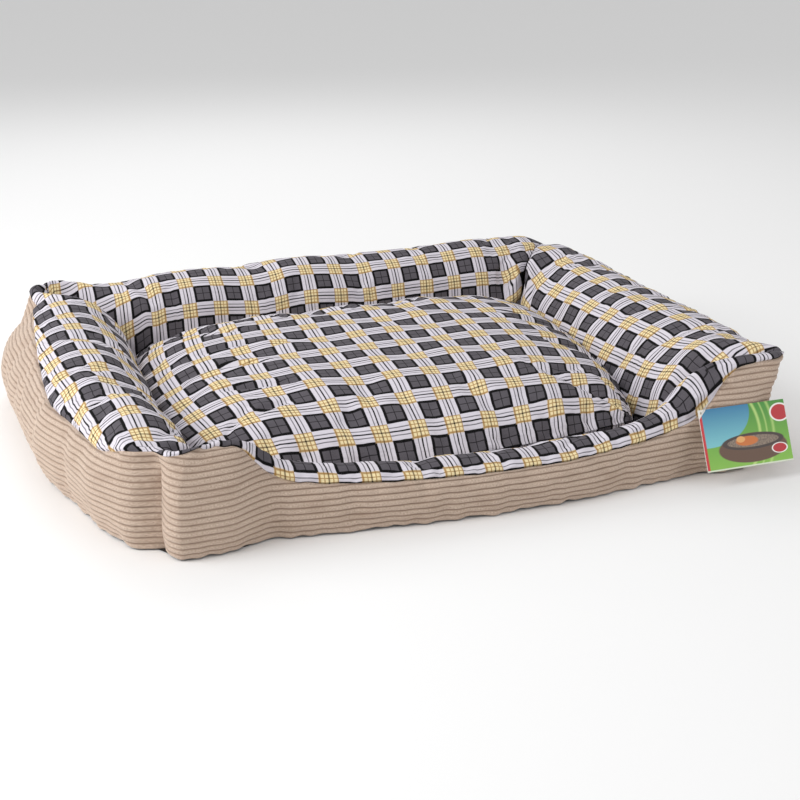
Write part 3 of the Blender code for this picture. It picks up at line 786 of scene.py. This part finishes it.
def build_sheets(materials):
    """The floor cloth over the base padding, and the bottom cloth under the whole bed."""
    corners = np.array([FEET[name] for name in ("front_left", "front_right", "back_left", "back_right")])
    rank = np.linspace(0, 1, FLOOR_CELLS)
    across, along = rank[:, None, None], rank[None, :, None]
    plan = ((corners[0] * (1 - across) + corners[1] * across) * (1 - along)
            + (corners[2] * (1 - across) + corners[3] * across) * along)
    edge = np.minimum(np.minimum(across, 1 - across), np.minimum(along, 1 - along))[:, :, 0]
    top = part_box("floor_panel")[1].z
    height = top - FLOOR_INSET - FLOOR_SINK * np.exp(-edge / FLOOR_SINK_REACH)
    height += ripple(plan[:, :, 0], plan[:, :, 1], *FLOOR_WAVES)
    points = np.concatenate([plan, height[:, :, None]], axis=2)
    floor = grid_object("floor_cloth", points, plan, materials["plaid"])
    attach(floor, "tub")
    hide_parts("floor_panel", "base_padding")

    walls = [Wall(name) for name in WALLS]
    outline = np.concatenate([wall.points(np.linspace(0, wall.length, BOTTOM_STATIONS), np.zeros(1), 0)[:-1, 0, :2]
                              for wall in walls])
    plan = outline * np.linspace(BOTTOM_SHARE, 0.0, BOTTOM_RINGS)[:, None, None]
    height = BOTTOM_HEIGHT + ripple(plan[:, :, 0], plan[:, :, 1], *BOTTOM_WAVES)
    points = np.concatenate([plan, height[:, :, None]], axis=2)
    points = np.concatenate([points, points[:, :1]], axis=1)
    bottom = grid_object("bottom_cloth", points, points[:, :, :2], materials["bottom_cloth"])
    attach(bottom, "tub")
    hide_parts("bottom_panel")


def dress(node, material):
    """Gives a CAD node a better material."""
    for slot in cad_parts[node].material_slots:
        slot.material = material


def blurred(moves, reach):
    """Moves averaged over that many cells along both axes of their grid."""
    for axis in (0, 1):
        place = np.arange(moves.shape[axis])
        weights = np.exp(-(((place[:, None] - place) / reach) ** 2) / 2)
        weights /= weights.sum(axis=1, keepdims=True)
        moves = np.moveaxis(np.tensordot(weights, moves, axes=(1, axis)), 0, axis)
    return moves


def simulate(points, held, growth):
    """How each point of a grid moves when its cloth is larger by that share and air presses it outwards."""
    obj = grid_object("blown", points, points[:, :, :2], None)
    group = obj.vertex_groups.new(name="held")
    group.add(np.flatnonzero(held.ravel()).tolist(), 1.0, "REPLACE")
    cloth = obj.modifiers.new("cloth", "CLOTH")
    cloth.settings.quality = CLOTH_QUALITY
    cloth.settings.mass = CLOTH_MASS
    cloth.settings.bending_stiffness = CLOTH_BENDING
    cloth.settings.shrink_min = -growth
    cloth.settings.use_pressure = True
    cloth.settings.uniform_pressure_force = CLOTH_PRESSURE
    cloth.settings.vertex_group_mass = "held"
    cloth.settings.effector_weights.gravity = 0
    cloth.point_cache.frame_start, cloth.point_cache.frame_end = 1, CLOTH_FRAMES
    for number in range(1, CLOTH_FRAMES + 1):
        bpy.context.scene.frame_set(number)
    blown = obj.evaluated_get(bpy.context.evaluated_depsgraph_get())
    places = np.empty(points.size)
    blown.data.vertices.foreach_get("co", places)
    bpy.data.objects.remove(obj)
    bpy.context.scene.frame_set(1)
    moves = places.reshape(points.shape) - points
    moves -= BROAD_SHARE * blurred(moves, BROAD_CELLS)
    size = np.maximum(np.linalg.norm(moves, axis=2, keepdims=True), 1e-9)
    return moves * np.minimum(1, CLOTH_CAP / size)


def simulated():
    """Moves of the outer and inner parts of each wall and of the cushion's top, on coarse grids."""
    puffs = {}
    for name in WALLS:
        wall = Wall(name)
        distance = np.linspace(0, wall.length, round(wall.length / CLOTH_CELL))
        outer = wall.points(distance, np.linspace(0, 1, OUTER_CELLS), 0)
        inner = wall.points(distance, np.linspace(0, 1, INNER_CELLS), 1)
        points = np.concatenate([outer, inner[:, 1:]], axis=1)
        held = np.zeros(points.shape[:2], bool)
        held[:, [0, OUTER_CELLS - 1, -1]] = True
        held[[0, -1]] = True
        moves = simulate(points, held, WALL_GROWTH)
        puffs[name] = [moves[:, :OUTER_CELLS], moves[:, OUTER_CELLS - 1:]]
    points, _ = cushion_points(CUSHION_CLOTH_CELLS, True)
    held = np.zeros(points.shape[:2], bool)
    held[[0, -1]] = True
    held[:, [0, -1]] = True
    puffs["cushion"] = simulate(points, held, CUSHION_GROWTH)
    return puffs


studio()
MATERIALS = {"corduroy": corduroy(), "plaid": plaid(), "bottom_cloth": bottom_cloth()}
PUFFS = simulated()
for wall_name in WALLS:
    build_wall(wall_name, MATERIALS, PUFFS)
build_cushion(MATERIALS, PUFFS)
build_sheets(MATERIALS)
dress("tag_front_leaf", card_print())
dress("tag_back_leaf", card_white())
dress("tag_loop", nylon())
